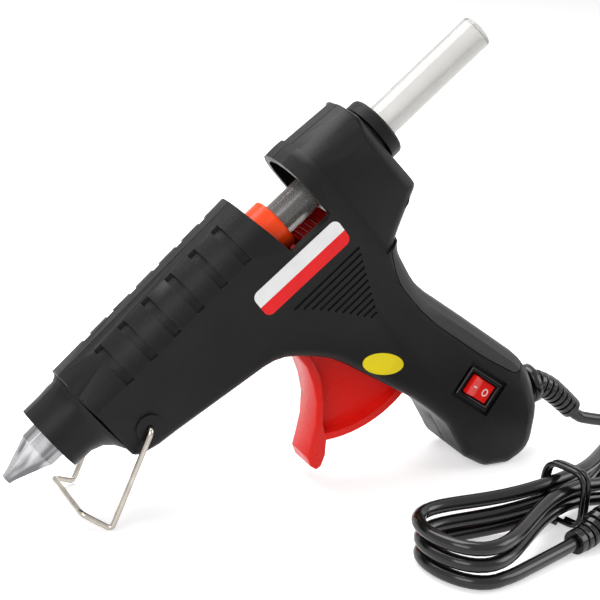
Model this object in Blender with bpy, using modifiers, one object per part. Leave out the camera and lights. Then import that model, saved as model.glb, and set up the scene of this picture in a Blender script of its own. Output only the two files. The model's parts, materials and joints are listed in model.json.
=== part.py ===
"""A hot melt glue gun for 11 mm sticks, standing on its wire stand and on the foot of its grip.

The gun's pieces are laid out in the gun's own axes, in millimetres: x runs back along the barrel from
the nozzle's tip, z runs up from the stick's centre line, and y is 0 on the joint between the two casing
halves, with the switch on the -y side. An empty tilts these axes so that the stand and the foot meet the
table. The cord, its hank and its plug are laid out in the table's axes.
"""

import math

import bmesh
import bpy
from mathutils import Matrix, Vector

MM = 0.001
CLEAR = 0.3

# Stick and feed
STICK_R = 5.6
STICK_FRONT = 84.0
STICK_REAR = 203.0

# Casing
HALF_WIDTH = 15.5
WALL = 2.5
BARREL_FRONT = 32.4
BARREL_REAR = 106.8
TOP_FRONT = 13.6
TOP_REAR = 16.6
SHOULDER_R = 10.0
SLOT_PITCH = 10.0
SLOT_FIRST = 47.3
SLOT_COUNT = 6
NOSE_FRONT = 18.0
NOSE_R = 11.6
WINDOW_FLOOR = -3.0
COLLAR_FRONT = 126.2
COLLAR_STEP = 132.6

# Wire stand
WIRE_R = 0.9
STAND_PIVOT = (41.9, -12.2)
STAND_FOOT = (12.7, -27.3)
STAND_TOE = (9.3, -19.1)
STAND_LEG_Y = 18.5
STAND_TOE_Y = 13.4

# Trigger
TRIGGER_PIVOT = (105.0, -38.0)
TRIGGER_RIM_R = 39.8
TRIGGER_HALF = 6.0
ARM_LEAN = math.radians(12)

# Switch, on the left side of the grip
SWITCH_AT = (129.4, -91.6)
SWITCH_TILT = math.radians(-74.6)
SWITCH_LONG = 15.0
SWITCH_WIDE = 10.4

# How the gun stands: tilted nose down, with the stand's feet and the grip's foot on the table
TILT = math.radians(41.5)
BOX_CENTRE_X = 91.6
FOOT_X = (114.6, 122.6)

# Cord
CORD_R = 2.2


def table_height(x, z):
    """How far a point of the gun's axes is above the stand's feet."""
    foot = STAND_FOOT[0] * math.sin(TILT) + STAND_FOOT[1] * math.cos(TILT) - WIRE_R
    return x * math.sin(TILT) + z * math.cos(TILT) - foot


def foot_point(x):
    """The point of the grip's flat foot at that x."""
    return x, -table_height(x, 0) / math.cos(TILT)


def on_table(x, y, z):
    """A point of the gun's axes, in the table's axes."""
    return (
        x * math.cos(TILT) - z * math.sin(TILT) - BOX_CENTRE_X,
        y,
        table_height(x, z),
    )


# The side outline of the casing, clockwise from the barrel's top front, as corners (x, z, radius) and
# how round the casing's long edge is from that corner to the next
BODY = [
    (BARREL_FRONT, TOP_FRONT, 1.0, SHOULDER_R),
    (BARREL_REAR, TOP_REAR, 0, SHOULDER_R),
    (130.0, 17.4, 0, SHOULDER_R),
    (153.4, 16.0, 2.0, 5.0),
    (155.4, -18.2, 4.0, 5.0),
    (137.2, -28.6, 9.0, 5.5),
    (134.6, -46.0, 24.0, 6.0),
    (140.6, -68.0, 90.0, 6.0),
    (149.2, -101.0, 24.0, 6.0),
    (142.8, -117.0, 16.0, 5.5),
    (131.6, -127.6, 10.0, 5.0),
    (*foot_point(FOOT_X[1]), 6.0, 4.0),
    (*foot_point(FOOT_X[0]), 6.0, 4.0),
    (106.2, -102.6, 4.5, 3.5),
    (113.0, -93.5, 5.0, 3.5),
    (111.6, -80.0, 40.0, 3.5),
    (98.4, -42.0, 30.0, 3.5),
    (86.0, -28.0, 16.0, 3.5),
    (44.0, -21.0, 30.0, 3.5),
    (BARREL_FRONT, -21.6, 4.0, 1.0),
]

# The strip of the casing's back that the soft pad covers
PAD = [
    (134.2, -27.4, 2.0),
    (160.0, -27.4, 0),
    (160.0, -98.6, 0),
    (142.6, -98.6, 3.0),
    (137.0, -83.0, 40.0),
    (130.0, -56.0, 40.0),
    (129.6, -38.0, 18.0),
]

SCREWS = [(36.6, -15.6), (84.5, -20.6), (146.6, -17.0), (126.6, -48.0), (117.6, -109.6)]
SCREW_R = 1.4
BOSS_R = 3.4

# The carriage that feeds the stick, and the lever that bites it
DRIVE_Z = -14.0
CARRIAGE_FLOOR = (-13.2, -11.4)
LEVER_PIVOT = (135.4, -9.4)

# The strain relief's root in the grip's foot, and its middle line from there, (x, z)
RELIEF = [(138.6, -113.4), (143.6, -115.4), (148.6, -117.6), (152.2, -124.6), (153.8, -132.0), (154.8, -139.6)]
RELIEF_R = 4.2

# Cord, in the table's axes: the hank's middle, its direction and its loops
HANK_MIDDLE = (72.7, -59.0)
HANK_TURN = math.radians(17)
HANK_REACH = 59.0
HANK_LOOPS = 2.5
HANK_START = math.radians(217)
HANK_PITCH = 5.0
HANK_CLIMB = math.radians(125)
LOOP_WIDTH = 35.7
LOOP_PINCH = 0.93
TIE_R = 0.9
TIE_TURNS = 2
TIE_PITCH = 2.4
TIE_SIZE = (7.5, 9.4)
TIE_MIDDLE = 10.6
TIE_LIFT = 2.4
PLUG_FROM = (64.0, -77.6)
PLUG_INTO = (0.95, 0.29, 0.11)
PLUG_TURN = math.radians(-9)
PLUG_AT = (84.6, -74.4, 7.4)
PLUG_SIZE = (36.0, 25.0, 14.0)
PIN_SPREAD = 9.5
PIN_R = 2.0
PIN_LENGTH = 19.0


def clear_scene():
    for old in list(bpy.data.objects):
        bpy.data.objects.remove(old)


def new_collection(name):
    made = bpy.data.collections.new(name)
    bpy.context.scene.collection.children.link(made)
    return made


clear_scene()
PARTS = new_collection("glue_gun")
CUTTERS = new_collection("cutters")
GUN = bpy.data.objects.new("gun_axes", None)
PARTS.objects.link(GUN)
GUN.rotation_euler = (0, -TILT, 0)
GUN.location = Vector(on_table(0, 0, 0)) * MM


def finish(name, colour, roughness, metallic=0.0, alpha=1.0):
    made = bpy.data.materials.new(name)
    made.use_nodes = True
    shader = made.node_tree.nodes["Principled BSDF"]
    shader.inputs["Base Color"].default_value = (*colour, 1)
    shader.inputs["Roughness"].default_value = roughness
    shader.inputs["Metallic"].default_value = metallic
    shader.inputs["Alpha"].default_value = alpha
    return made


BLACK_PLASTIC = finish("black_plastic", (0.014, 0.014, 0.015), 0.5)
SOFT_BLACK = finish("soft_black", (0.03, 0.03, 0.032), 0.6)
CORD_BLACK = finish("cord_black", (0.01, 0.01, 0.011), 0.3)
RED_PLASTIC = finish("red_plastic", (0.8, 0.02, 0.01), 0.35)
ORANGE_RUBBER = finish("orange_rubber", (0.9, 0.08, 0.005), 0.4)
CLEAR_GLUE = finish("clear_glue", (0.85, 0.85, 0.83), 0.2, alpha=0.6)
ALUMINIUM = finish("aluminium", (0.75, 0.75, 0.76), 0.3, 1.0)
STEEL = finish("steel", (0.6, 0.58, 0.54), 0.25, 1.0)
CERAMIC = finish("ceramic", (0.75, 0.72, 0.66), 0.6)
BRASS = finish("brass", (0.7, 0.5, 0.2), 0.3, 1.0)
WIRE_RED = finish("wire_red", (0.5, 0.02, 0.02), 0.5)
WIRE_BLUE = finish("wire_blue", (0.02, 0.08, 0.4), 0.5)


# Outlines

def turn_at(corners, i):
    here = Vector(corners[i][:2])
    back = (Vector(corners[i - 1][:2]) - here).normalized()
    ahead = (Vector(corners[(i + 1) % len(corners)][:2]) - here).normalized()
    return here, back, ahead, math.pi - back.angle(ahead)


def arc_steps(corners, i, step=15.0):
    """How many pieces the arc of that corner has; a corner with no radius has none."""
    return max(1, math.ceil(math.degrees(turn_at(corners, i)[3]) / step)) if corners[i][2] > 0 else 0


def rounded(corners, like=None):
    """The outline through those corners (a, b, radius), each turned into an arc of its radius."""
    points = []
    for i, (_, _, radius) in enumerate(corners):
        here, back, ahead, turn = turn_at(corners, i)
        count = arc_steps(like or corners, i)
        if not count:
            points.append(here)
            continue
        centre = here + (back + ahead).normalized() * radius / math.cos(turn / 2)
        first = here + back * radius * math.tan(turn / 2) - centre
        side = 1 if back.cross(ahead) < 0 else -1
        for k in range(count + 1):
            points.append(centre + Matrix.Rotation(side * turn * k / count, 2) @ first)
    return points


def along_outline(corners, values):
    """Each edge's value at the outline's points, changing along the arc of each corner."""
    out = []
    for i in range(len(corners)):
        count = arc_steps(corners, i)
        shares = [k / count for k in range(count + 1)] if count else [0.5]
        out += [values[i - 1] * (1 - share) + values[i] * share for share in shares]
    return out


def inset(corners, walls):
    """The corners of a clockwise outline with the edge after each moved inwards by its own distance."""
    moved = []
    for i, (a, b, radius) in enumerate(corners):
        here = Vector((a, b))
        along_in = (here - Vector(corners[i - 1][:2])).normalized()
        along_out = (Vector(corners[(i + 1) % len(corners)][:2]) - here).normalized()
        inward_in = Vector((along_in.y, -along_in.x))
        inward_out = Vector((along_out.y, -along_out.x))
        wall_in, wall_out = walls[i - 1], walls[i]
        turn = along_in.cross(along_out)
        if abs(turn) < 0.08:
            new = here + (inward_in + inward_out).normalized() * (wall_in + wall_out) / 2
        else:
            new = here + (along_in * wall_out - along_out * wall_in) / turn
        wall = (wall_in + wall_out) / 2
        new_radius = max(radius - wall, 0.3) if turn < 0 else radius + wall
        moved.append((*new, new_radius if radius > 0 else 0))
    return moved


def arc(centre, radius, start, end, count):
    """Points round a centre from one angle to another, in degrees."""
    return [
        Vector(centre) + radius * Vector((math.cos(t), math.sin(t)))
        for t in (math.radians(start + (end - start) * k / count) for k in range(count + 1))
    ]


# Solids. Each is made in millimetres and placed in the gun's axes.

def place(mesh, name, skin=BLACK_PLASTIC, parent=GUN, cutter=False):
    made = bpy.data.objects.new(name, mesh)
    (CUTTERS if cutter else PARTS).objects.link(made)
    made.parent = parent
    if cutter:
        made.hide_render = True
        made.display_type = "WIRE"
    else:
        mesh.materials.clear()
        mesh.materials.append(skin)
    return made


def tidy(mesh, flat=False):
    """Welds loose caps, makes flat caps one face each, and points all faces outwards."""
    bm = bmesh.new()
    bm.from_mesh(mesh)
    bmesh.ops.remove_doubles(bm, verts=bm.verts, dist=1e-6)
    if flat:
        bmesh.ops.dissolve_limit(
            bm, angle_limit=math.radians(0.2), verts=bm.verts, edges=bm.edges
        )
    bmesh.ops.recalc_face_normals(bm, faces=bm.faces)
    bm.to_mesh(mesh)
    bm.free()
    return mesh


def realised(made):
    """The object's shape with its modifiers in it, as plain mesh."""
    bpy.context.view_layer.update()
    seen = made.evaluated_get(bpy.context.evaluated_depsgraph_get())
    return bpy.data.meshes.new_from_object(seen)


def apply_modifiers(made):
    mesh = realised(made)
    made.modifiers.clear()
    made.data = mesh
    return made


def from_curve(curve, to_gun, flat=False):
    made = bpy.data.objects.new("outline", curve)
    CUTTERS.objects.link(made)
    mesh = realised(made)
    bpy.data.objects.remove(made)
    mesh.transform(to_gun)
    return tidy(mesh, flat)


def plate_mesh(points, low, high):
    """A side outline (x, z) as a solid from y = low to y = high."""
    curve = bpy.data.curves.new("outline", "CURVE")
    curve.dimensions = "2D"
    curve.fill_mode = "BOTH"
    curve.extrude = (high - low) / 2 * MM
    spline = curve.splines.new("POLY")
    spline.points.add(len(points) - 1)
    for point, (a, b) in zip(spline.points, points):
        point.co = (a * MM, b * MM, 0, 1)
    spline.use_cyclic_u = True
    upright = Matrix.Rotation(math.pi / 2, 4, "X")
    across = Matrix.Translation((0, (low + high) / 2 * MM, 0))
    return from_curve(curve, across @ upright, flat=True)


def turned_mesh(profile, sides=24, closed=True):
    """A profile of (x, radius) points turned round the x axis. A bored piece has a closed profile."""
    bm = bmesh.new()
    verts = [bm.verts.new((x * MM, 0, max(r, 0) * MM)) for x, r in profile]
    pairs = list(zip(verts, verts[1:])) + ([(verts[-1], verts[0])] if closed else [])
    for one, two in pairs:
        bm.edges.new((one, two))
    mesh = bpy.data.meshes.new("profile")
    bm.to_mesh(mesh)
    bm.free()
    made = bpy.data.objects.new("profile", mesh)
    CUTTERS.objects.link(made)
    screw = made.modifiers.new("Turn", "SCREW")
    screw.axis = "X"
    screw.steps = sides
    screw.render_steps = sides
    screw.use_merge_vertices = True
    screw.merge_threshold = 1e-5
    mesh = realised(made)
    bpy.data.objects.remove(made)
    return tidy(mesh)


def moved(mesh, x=0.0, y=0.0, z=0.0, turn=0.0, axis="Y"):
    """The mesh turned about that axis through the origin and then shifted."""
    mesh.transform(Matrix.Translation((x * MM, y * MM, z * MM)) @ Matrix.Rotation(turn, 4, axis))
    return mesh


def rod_mesh(at, low, high, radius, sides=16):
    """A pin across the gun, along y, at that (x, z)."""
    bm = bmesh.new()
    bmesh.ops.create_cone(
        bm,
        cap_ends=True,
        segments=sides,
        radius1=radius * MM,
        radius2=radius * MM,
        depth=(high - low) * MM,
        matrix=Matrix.Translation((at[0] * MM, (low + high) / 2 * MM, at[1] * MM))
        @ Matrix.Rotation(math.pi / 2, 4, "X"),
    )
    mesh = bpy.data.meshes.new("rod")
    bm.to_mesh(mesh)
    bm.free()
    return mesh


def box_mesh(low, high):
    bm = bmesh.new()
    size = [(b - a) * MM for a, b in zip(low, high)]
    middle = [(a + b) / 2 * MM for a, b in zip(low, high)]
    bmesh.ops.create_cube(bm, size=1, matrix=Matrix.Translation(middle) @ Matrix.Diagonal((*size, 1)))
    mesh = bpy.data.meshes.new("box")
    bm.to_mesh(mesh)
    bm.free()
    return mesh


def tube_mesh(points, radius, sides=2, radii=None):
    """A round tube through those points (x, y, z); radii gives each point's share of the radius."""
    curve = bpy.data.curves.new("tube", "CURVE")
    curve.dimensions = "3D"
    curve.bevel_depth = radius * MM
    curve.bevel_resolution = sides
    curve.use_fill_caps = True
    spline = curve.splines.new("POLY")
    spline.points.add(len(points) - 1)
    for i, (point, place_at) in enumerate(zip(spline.points, points)):
        point.co = (*(Vector(place_at) * MM), 1)
        point.radius = radii[i] if radii else 1
    return from_curve(curve, Matrix.Identity(4))


def bevelled(made, width, segments=2, angle=35):
    """Rounds every edge sharper than that angle."""
    modifier = made.modifiers.new("Round", "BEVEL")
    modifier.width = width * MM
    modifier.segments = segments
    modifier.limit_method = "ANGLE"
    modifier.angle_limit = math.radians(angle)
    return apply_modifiers(made)


def combine(made, mesh, operation):
    """Joins a solid to the object, cuts it away, or keeps only what lies in it."""
    other = place(mesh, made.name + "_" + operation.lower(), parent=made.parent, cutter=True)
    modifier = made.modifiers.new("Combine", "BOOLEAN")
    modifier.operation = operation
    modifier.object = other
    apply_modifiers(made)
    bpy.data.objects.remove(other)
    return made


def join(made, mesh):
    return combine(made, mesh, "UNION")


def cut(made, mesh):
    return combine(made, mesh, "DIFFERENCE")


def smooth(made, angle=35):
    made.data.shade_smooth()
    made.data.set_sharp_from_angle(angle=math.radians(angle))
    return made


# Casing

def body_mesh(wall=0.0, steps=3):
    """The casing's outer form, or the form that lies a wall's thickness inside it."""
    half = HALF_WIDTH - wall
    corners = [corner[:3] for corner in BODY]
    rounds = [max(corner[3] - wall, 0.8) for corner in BODY]
    rings = []
    for k in range(steps + 1):
        bend = math.pi / 2 * k / steps
        walls = [wall + r * (1 - math.cos(bend)) for r in rounds]
        points = rounded(inset(corners, walls), corners)
        depths = [half - r * (1 - math.sin(bend)) for r in along_outline(corners, rounds)]
        rings.append([(x, y, z) for (x, z), y in zip(points, depths)])
    left = [[(x, -y, z) for x, y, z in ring] for ring in reversed(rings)]
    return loft_mesh(left + rings)


def nose_section(x, share, sides=40):
    """A ring round the nose: a circle where share is 0, and the barrel's front end where it is 1."""
    ring = []
    low, high, half, corner = -20.6, TOP_FRONT - 0.4, HALF_WIDTH - 0.5, 7.0
    for k in range(sides):
        t = 2 * math.pi * k / sides
        direction = Vector((math.sin(t), math.cos(t)))
        inner_half = half - corner
        inner_low, inner_high = low + corner, high - corner
        reach = min(
            (inner_half / abs(direction.x)) if abs(direction.x) > 1e-6 else 1e6,
            (inner_high / direction.y) if direction.y > 1e-6 else 1e6,
            (inner_low / direction.y) if direction.y < -1e-6 else 1e6,
        )
        block = direction * reach + direction * corner
        circle = direction * NOSE_R
        point = circle.lerp(block, share)
        ring.append((x, point.x, point.y))
    return ring


def loft_mesh(rings):
    """A closed solid through rings of equally many points."""
    bm = bmesh.new()
    loops = [[bm.verts.new(Vector(p) * MM) for p in ring] for ring in rings]
    for one, two in zip(loops, loops[1:]):
        for i in range(len(one)):
            j = (i + 1) % len(one)
            bm.faces.new((one[i], one[j], two[j], two[i]))
    bm.faces.new(loops[0])
    bm.faces.new(loops[-1])
    bmesh.ops.recalc_face_normals(bm, faces=bm.faces)
    mesh = bpy.data.meshes.new("loft")
    bm.to_mesh(mesh)
    bm.free()
    return mesh


def barrel_top(x):
    return TOP_FRONT + (TOP_REAR - TOP_FRONT) * (x - BARREL_FRONT) / (BARREL_REAR - BARREL_FRONT)


def slot_mesh(x, side):
    """One cooling groove over the barrel's shoulder, as the solid that it takes away."""
    centre = (HALF_WIDTH - SHOULDER_R, barrel_top(x) - SHOULDER_R)
    outer = arc(centre, SHOULDER_R + 3, 96, -6, 5)
    inner = arc(centre, SHOULDER_R - 1.2, -6, 96, 6)
    mesh = plate_mesh(outer + inner, -1.5, 1.5)
    turn = Matrix(((0, 1, 0, 0), (side, 0, 0, 0), (0, 0, 1, 0), (0, 0, 0, 1)))
    mesh.transform(Matrix.Translation((x * MM, 0, 0)) @ turn)
    return tidy(mesh)


def rib_grooves(side):
    """The grooves between the grip ribs on the casing's side, as one comb of boxes."""
    boxes = []
    for k in range(11):
        z = -18.0 - 2.2 * k
        down = k / 10
        left = 98.8 + 17.0 * down ** 0.85
        right = 127.0 - 8.4 * down
        low, high = sorted((side * (HALF_WIDTH - 0.6), side * (HALF_WIDTH + 2)))
        boxes.append(box_mesh((left, low, z - 0.5), (right, high, z + 0.5)))
    return boxes


def screw_seats(made, at):
    """A boss through both halves, with the screw's hole and, on the right, its head's recess."""
    join(made, rod_mesh(at, -HALF_WIDTH + 1.5, HALF_WIDTH - 1.5, BOSS_R))
    cut(made, rod_mesh(at, -8.0, HALF_WIDTH + 2, SCREW_R + CLEAR))
    cut(made, rod_mesh(at, 10.7, HALF_WIDTH + 2, 2.7))


def casing_form():
    """Both halves of the casing in one, with everything that is the same on both."""
    made = place(body_mesh(), "casing")
    shares = [(NOSE_FRONT, -0.02), (24.6, 0.0), (28.2, 0.14), (30.6, 0.42), (32.2, 0.86), (33.4, 1.0)]
    join(made, loft_mesh([nose_section(x, share) for x, share in shares]))
    rear = place(box_mesh((COLLAR_STEP, -20, -27.4), (170, 20, 30)), "rear_skin", cutter=True)
    cut(rear, body_mesh(0.8))
    cut(made, rear.data)
    bpy.data.objects.remove(rear)
    cut(made, body_mesh(WALL, steps=2))
    cut(made, turned_mesh([(37, 0), (37, 9.2), (21, 9.2), (21, 7.0), (10, 7.0), (10, 0)], closed=False))
    for side in (-1, 1):
        low, high = sorted((side * (HALF_WIDTH - 2), side * (HALF_WIDTH + 1.1)))
        join(made, rod_mesh(STAND_PIVOT, low, high, 4.4, 24))
        low, high = sorted((side * 6.7, side * (HALF_WIDTH - 2)))
        join(made, rod_mesh(TRIGGER_PIVOT, low, high, 4.2))
        low, high = sorted((side * 8.2, side * (HALF_WIDTH - 2)))
        for z in (CARRIAGE_FLOOR[0] - 0.4 - 1.8, CARRIAGE_FLOOR[1] + 0.4):
            join(made, box_mesh((95.0, low, z), (146.0, high, z + 1.8)))
    x = 84.0
    across = HALF_WIDTH - 1.5
    rib = place(box_mesh((x, -across, -19.0), (x + 1.8, across, -3.0)), "rib", cutter=True)
    cut(rib, turned_mesh([(x + 5, 0), (x + 5, 8.6), (x - 5, 8.6), (x - 5, 0)], closed=False))
    for side in (-1, 1):
        low, high = sorted((side * 9.4, side * 12.7))
        cut(rib, box_mesh((x - 5, low, -20), (x + 5, high, -12.6)))
    join(made, rib.data)
    bpy.data.objects.remove(rib)
    for at in SCREWS:
        screw_seats(made, at)
    window = [
        (BARREL_REAR - 0.8, 22, 0),
        (109.6, WINDOW_FLOOR, 1.2),
        (COLLAR_FRONT, WINDOW_FLOOR, 1.2),
        (COLLAR_FRONT - 0.7, 22, 0),
    ]
    cut(made, plate_mesh(rounded(window), -20, 20))
    trigger_slot = [(86.5, -24, 0), (98, -34, 0), (117, -79.6, 0), (104, -79.6, 0), (88, -44, 0)]
    cut(made, plate_mesh(rounded(trigger_slot), -TRIGGER_HALF - 0.6, TRIGGER_HALF + 0.6))
    cut(made, turned_mesh([(160, 0), (160, 9.4), (148, 9.4), (148, 0)], closed=False))
    cut(made, rod_mesh(STAND_PIVOT, -20, 20, WIRE_R + CLEAR, 12))
    cut(made, rod_mesh(TRIGGER_PIVOT, -12.9, 12.9, 2.0 + CLEAR))
    cut(made, tube_mesh([(x, 0, z) for x, z in RELIEF[:3]], RELIEF_R + 1.4))
    for side in (-1, 1):
        for k in range(SLOT_COUNT):
            cut(made, slot_mesh(SLOT_FIRST + SLOT_PITCH * k, side))
        for groove in rib_grooves(side):
            cut(made, groove)
    recess = place(plate_mesh(rounded(PAD), -20, 20), "pad_recess", cutter=True)
    cut(recess, body_mesh(1.5))
    cut(made, recess.data)
    bpy.data.objects.remove(recess)
    return made


def make_casing():
    whole = casing_form()
    for name, side in (("casing_left", -1), ("casing_right", 1)):
        half = place(whole.data.copy(), name)
        low, high = sorted((side * 0.15, side * 40))
        combine(half, box_mesh((-10, low, -150), (190, high, 40)), "INTERSECT")
        if side < 0:
            cut(half, in_switch(-8.9, 8.9, -6.6, 6.6, HALF_WIDTH - 1.3, 20))
            cut(half, in_switch(-7.1, 7.1, -5.0, 5.0, 5, 20))
        smooth(half)
    bpy.data.objects.remove(whole)


def make_pad():
    inner = [(x + (0.3 if x < 150 else 0), z + (-0.3 if z > -30 else 0.3 if z < -98 else 0), r) for x, z, r in PAD]
    pad = place(body_mesh(), "grip_strap", SOFT_BLACK)
    combine(pad, plate_mesh(rounded(inner), -20, 20), "INTERSECT")
    cut(pad, body_mesh(1.2))
    smooth(pad)


def pivot(made, x, y, z):
    """Moves the object's origin to a place in the gun's axes."""
    at = Vector((x, y, z)) * MM
    made.data.transform(Matrix.Translation(-at))
    made.location = at
    return made


# Switch

def in_switch(a_low, a_high, b_low, b_high, d_low, d_high):
    """A box in the switch's own directions: along it, across it, and out through the left wall."""
    mesh = box_mesh((a_low, -d_high, b_low), (a_high, -d_low, b_high))
    return moved(mesh, SWITCH_AT[0], 0, SWITCH_AT[1], -SWITCH_TILT)


def make_switch():
    body = place(in_switch(-6.8, 6.8, -4.7, 4.7, 3.0, 14.6), "switch_body")
    join(body, in_switch(-SWITCH_LONG / 2, SWITCH_LONG / 2, -SWITCH_WIDE / 2, SWITCH_WIDE / 2, 14.5, 15.6))
    cut(body, in_switch(-6.3, 6.3, -3.9, 3.9, 10.2, 20))
    for a in (-4.0, 4.0):
        join(body, in_switch(a - 0.4, a + 0.4, -2.4, 2.4, 0.6, 3.2))
    bevelled(body, 0.3, 1)
    rise = 5.6 * math.tan(math.radians(12))
    face = [(-5.6, -14.7 - rise), (0, -14.7), (5.6, -14.7 - rise), (5.0, -12.4), (0, -10.9), (-5.0, -12.4)]
    rocker = place(plate_mesh([Vector(p) for p in face], -3.5, 3.5), "switch_rocker", RED_PLASTIC)
    bevelled(rocker, 0.3, 1, 20)
    to_switch = (
        Matrix.Translation((SWITCH_AT[0] * MM, 0, SWITCH_AT[1] * MM))
        @ Matrix.Rotation(-SWITCH_TILT, 4, "Y")
        @ Matrix.Translation((0, -13.0 * MM, 0))
        @ Matrix.Rotation(math.radians(12), 4, "Z")
        @ Matrix.Translation((0, 13.0 * MM, 0))
        @ Matrix.Rotation(-math.pi / 2, 4, "X")
    )
    rocker.data.transform(to_switch)
    tidy(rocker.data)
    pivot(rocker, SWITCH_AT[0], -13.0, SWITCH_AT[1])


# Heater

def make_heater():
    hexagon = turned_mesh([(17.7, 0), (17.7, 6.6), (12.0, 5.9), (2.2, 2.2), (0, 1.7), (0, 0)], 6, False)
    nozzle = place(hexagon, "nozzle", ALUMINIUM)
    join(nozzle, turned_mesh([(26.0, 0), (26.0, 4.0), (17.0, 4.0), (17.0, 0)], closed=False))
    cut(nozzle, turned_mesh([(30, 0), (30, 2.4), (12, 2.4), (8, 1.0), (-2, 1.0), (-2, 0)], 16, False))
    bevelled(nozzle, 0.25, 1)
    smooth(nozzle, 25)
    outer = [
        (103.6, 6.2), (103.6, 7.2), (96.0, 7.2), (96.0, 8.2), (25.0, 8.2), (25.0, 6.5), (18.4, 6.5), (18.4, 4.3),
    ]
    inner = [(26.6, 4.3), (29.0, 6.2)]
    chamber = place(turned_mesh(outer + inner), "melt_chamber", ALUMINIUM)
    trough = place(box_mesh((41.5, -7.2, -15.6), (78.5, 7.2, -4.0)), "trough", cutter=True)
    cut(trough, turned_mesh([(90, 0), (90, 7.0), (30, 7.0), (30, 0)], closed=False))
    join(chamber, trough.data)
    bpy.data.objects.remove(trough)
    cut(chamber, box_mesh((30, -5.5, -13.4), (90, 5.5, -9.4)))
    smooth(chamber)
    place(turned_mesh([(24.7, 6.8), (24.7, 8.9), (21.3, 8.9), (21.3, 6.8)]), "front_insulator", CERAMIC)
    place(box_mesh((41.0, -5.2, -13.1), (80.0, 5.2, -9.7)), "heating_element", CERAMIC)
    clip = place(box_mesh((62.0, -8.4, -16.7), (67.0, 8.4, -8.0)), "element_clip", STEEL)
    cut(clip, box_mesh((60, -7.5, -15.9), (70, 7.5, 0)))
    sleeve = [
        (114.4, 6.3), (114.4, 8.1), (113.9, 8.7), (105.0, 8.7), (103.6, 8.9), (97.2, 8.9), (97.2, 7.5),
        (104.0, 7.5), (104.0, 6.3),
    ]
    smooth(place(turned_mesh(sleeve), "inlet_sleeve", ORANGE_RUBBER))
    smooth(place(turned_mesh([(101.0, 9.2), (101.0, 10.0), (99.0, 10.0), (99.0, 9.2)]), "sleeve_clamp", STEEL))
    ring = [
        (160.2, 6.9), (160.2, 11.2), (159.4, 12.0), (155.8, 12.0), (155.8, 9.1), (149.6, 9.1), (149.6, 6.2),
        (159.5, 6.2),
    ]
    smooth(place(turned_mesh(ring), "rear_guide_ring"))
    rod = turned_mesh([(STICK_REAR, 0), (STICK_REAR, STICK_R), (STICK_FRONT, STICK_R), (STICK_FRONT, 0)], 32, False)
    stick = place(rod, "glue_stick", CLEAR_GLUE)
    pivot(smooth(bevelled(stick, 0.5, 2)), STICK_FRONT, 0, 0)


# Feed

def make_feed():
    drive_x = TRIGGER_PIVOT[0] + (DRIVE_Z - TRIGGER_PIVOT[1]) * math.tan(ARM_LEAN)
    low, high = CARRIAGE_FLOOR
    carriage = place(box_mesh((102.4, -9.0, low), (143.5, 9.0, high)), "feed_carriage", RED_PLASTIC)
    for k in range(8):
        x = 112.0 + 1.9 * k
        ridge = [(x, high - 0.2), (x + 1.5, high - 0.2), (x + 0.3, -9.7), (x, -9.7)]
        join(carriage, plate_mesh([Vector(p) for p in ridge], -7, 7))
    for side in (-1, 1):
        a, b = sorted((side * 4.1, side * 7.0))
        join(carriage, box_mesh((drive_x - 3.2, a, DRIVE_Z - 3.0), (drive_x + 3.2, b, low + 0.3)))
        a, b = sorted((side * 5.1, side * 7.2))
        join(carriage, box_mesh((128.5, a, high - 0.3), (142.4, b, -7.4)))
    cut(carriage, box_mesh((drive_x - 5.8, -3.6, low - 6), (drive_x + 6.0, 3.6, high + 3)))
    cut(carriage, box_mesh((129.0, -4.9, low - 1), (143.0, 4.9, high + 0.1)))
    cut(carriage, rod_mesh((drive_x, DRIVE_Z), -10, 10, 1.8))
    cut(carriage, rod_mesh(LEVER_PIVOT, -10, 10, 1.5))
    pivot(carriage, drive_x, 0, DRIVE_Z)
    place(rod_mesh((drive_x, DRIVE_Z), -6.9, 6.9, 1.5), "drive_pin", STEEL)
    place(rod_mesh(LEVER_PIVOT, -7.1, 7.1, 1.2), "grip_lever_pin", STEEL)
    teeth = [(141.6, -12.2), (141.6, -8.2), (138.4, -7.2)]
    for k in range(5):
        x = 136.6 - 1.8 * k
        teeth += [(x, -6.5), (x - 0.5, -6.5), (x - 0.5, -8.0)]
    teeth += [(128.2, -8.4), (130.0, -11.2)]
    lever = place(plate_mesh([Vector(p) for p in teeth], -4.6, 4.6), "grip_lever", STEEL)
    cut(lever, rod_mesh(LEVER_PIVOT, -10, 10, 1.5))
    pivot(lever, LEVER_PIVOT[0], 0, LEVER_PIVOT[1])


# Trigger

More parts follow.
